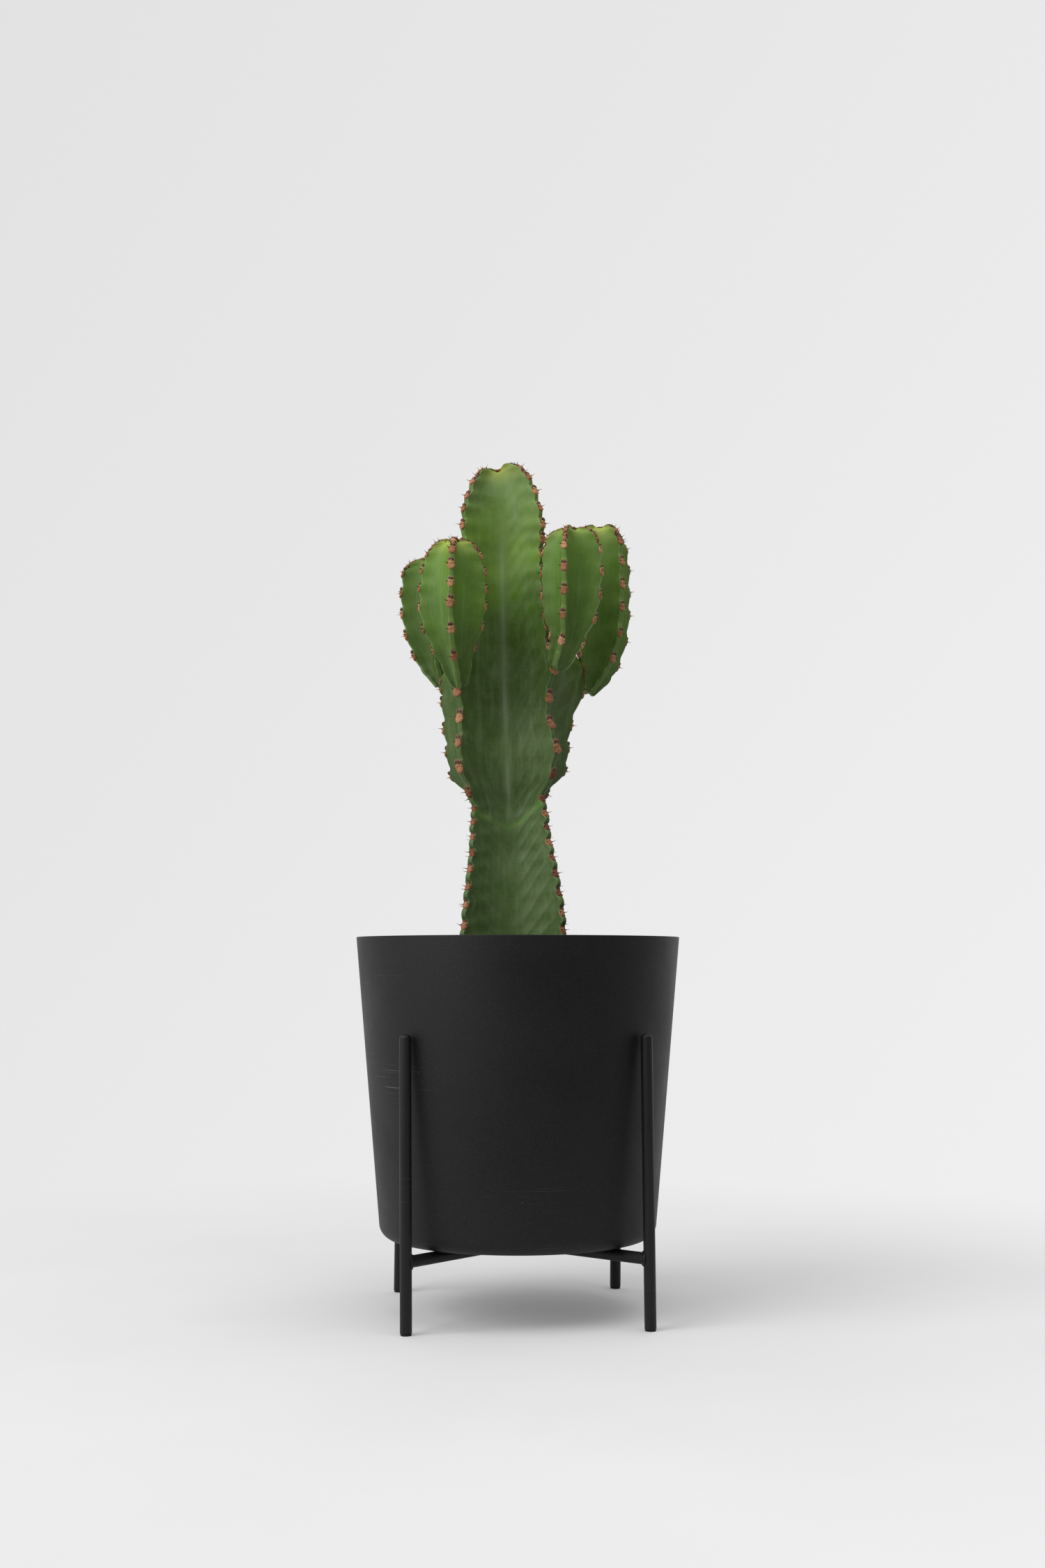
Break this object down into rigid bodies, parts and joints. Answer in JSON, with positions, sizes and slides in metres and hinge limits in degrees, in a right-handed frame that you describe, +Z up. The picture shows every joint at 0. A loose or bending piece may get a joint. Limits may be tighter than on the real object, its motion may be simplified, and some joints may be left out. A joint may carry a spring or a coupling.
{
  "type": "potted plant",
  "caption": "Ribbed, spiny euphorbia with upright side branches, planted in a tapered round black steel planter held in a welded rod stand with legs.",
  "frame": {"origin": "on the floor, on the planter's axis, at the centre of the rim seen from above", "axes": "+Z up; +X to the right and -Y toward the viewer when facing the plant's broad front face"},
  "size_m": [0.346, 0.346, 0.9093],
  "materials": {
    "powder_coat": "matte",
    "stand_coat": "satin",
    "soil": "matte",
    "plant_skin": "satin",
    "young_skin": "satin",
    "glide": "matte"
  },
  "bodies": {
    "root": {"planter_pot": "powder_coat", "potting_soil": "soil", "main_stem": "plant_skin", "branch_front_left": "young_skin", "branch_front_right": "young_skin", "branch_back_left": "young_skin", "branch_back_right": "young_skin", "leg_front_left": "stand_coat", "leg_front_right": "stand_coat", "leg_back_left": "stand_coat", "leg_back_right": "stand_coat", "cross_bar_long": "stand_coat", "cross_bar_half_front": "stand_coat", "cross_bar_half_back": "stand_coat", "foot_glide_front_left": "glide", "foot_glide_front_right": "glide", "foot_glide_back_left": "glide", "foot_glide_back_right": "glide"}
  },
  "joints": []
}
